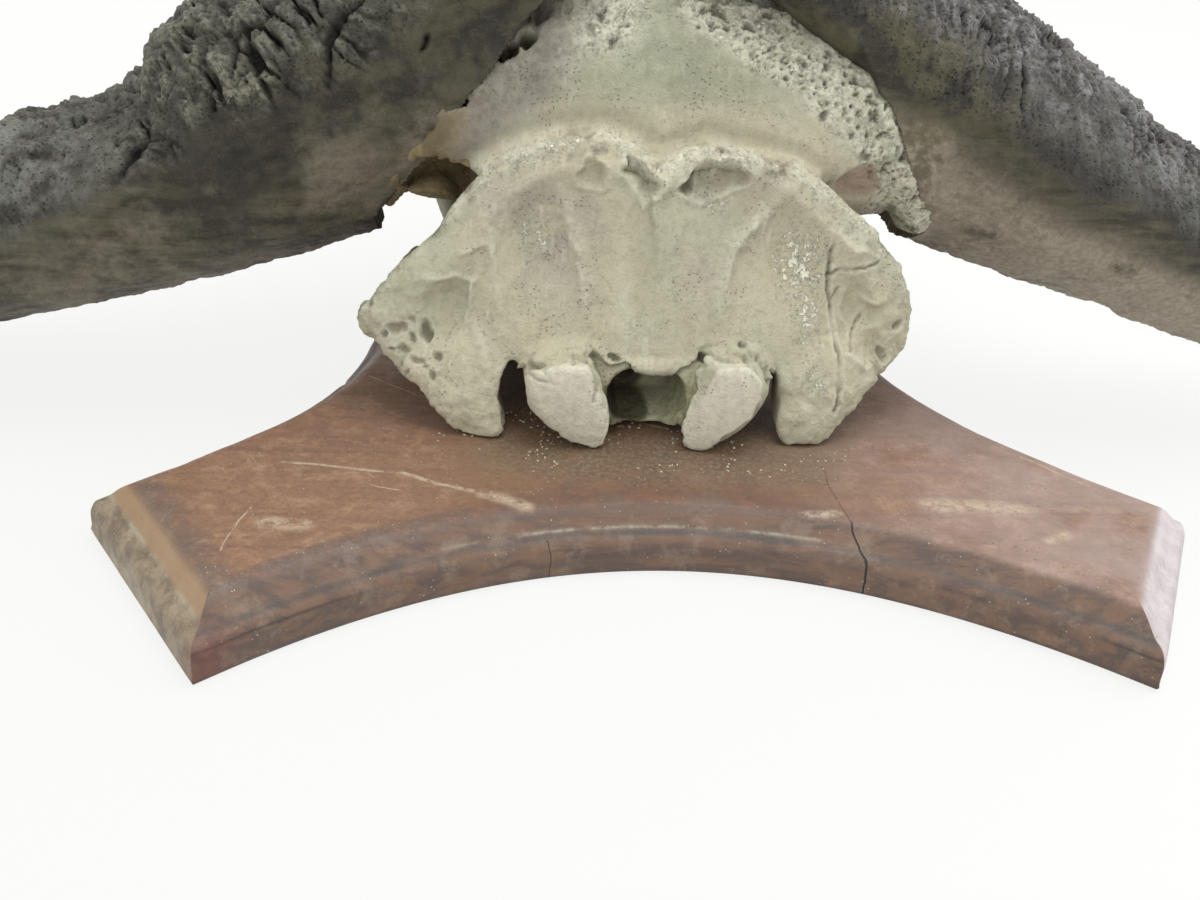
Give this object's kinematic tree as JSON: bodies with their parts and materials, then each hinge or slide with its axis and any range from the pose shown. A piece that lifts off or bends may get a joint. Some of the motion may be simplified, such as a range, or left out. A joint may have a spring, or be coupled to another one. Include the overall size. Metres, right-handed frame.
{
  "type": "buffalo skull mount",
  "caption": "Upper skull of a bull buffalo with heavy bossed horns, lying palate down on a moulded wooden shield plaque.",
  "frame": {"origin": "centre of the shield plaque's flat back, on the surface it lies on", "axes": "+Z out of the plaque's face and up, +Y towards the skull's nose and the plaque's tip, +X the animal's right side, along the spread of the horns"},
  "size_m": [0.984, 0.665, 0.3233],
  "materials": {
    "bone": "dry weathered bone, khaki beige",
    "horn": "rough dark horn sheath",
    "wood": "worn reddish brown stain"
  },
  "bodies": {
    "root": {"braincase": "bone", "frontal": "bone", "maxilla_left": "bone", "maxilla_right": "bone", "nasal_left": "bone", "nasal_right": "bone", "occipital": "bone", "premaxilla_left": "bone", "premaxilla_right": "bone", "zygomatic_left": "bone", "zygomatic_right": "bone", "horn_boss_left": "horn", "horn_boss_right": "horn", "horn_middle_left": "horn", "horn_middle_right": "horn", "horn_tip_left": "horn", "horn_tip_right": "horn", "shield_plaque": "wood"}
  },
  "joints": []
}
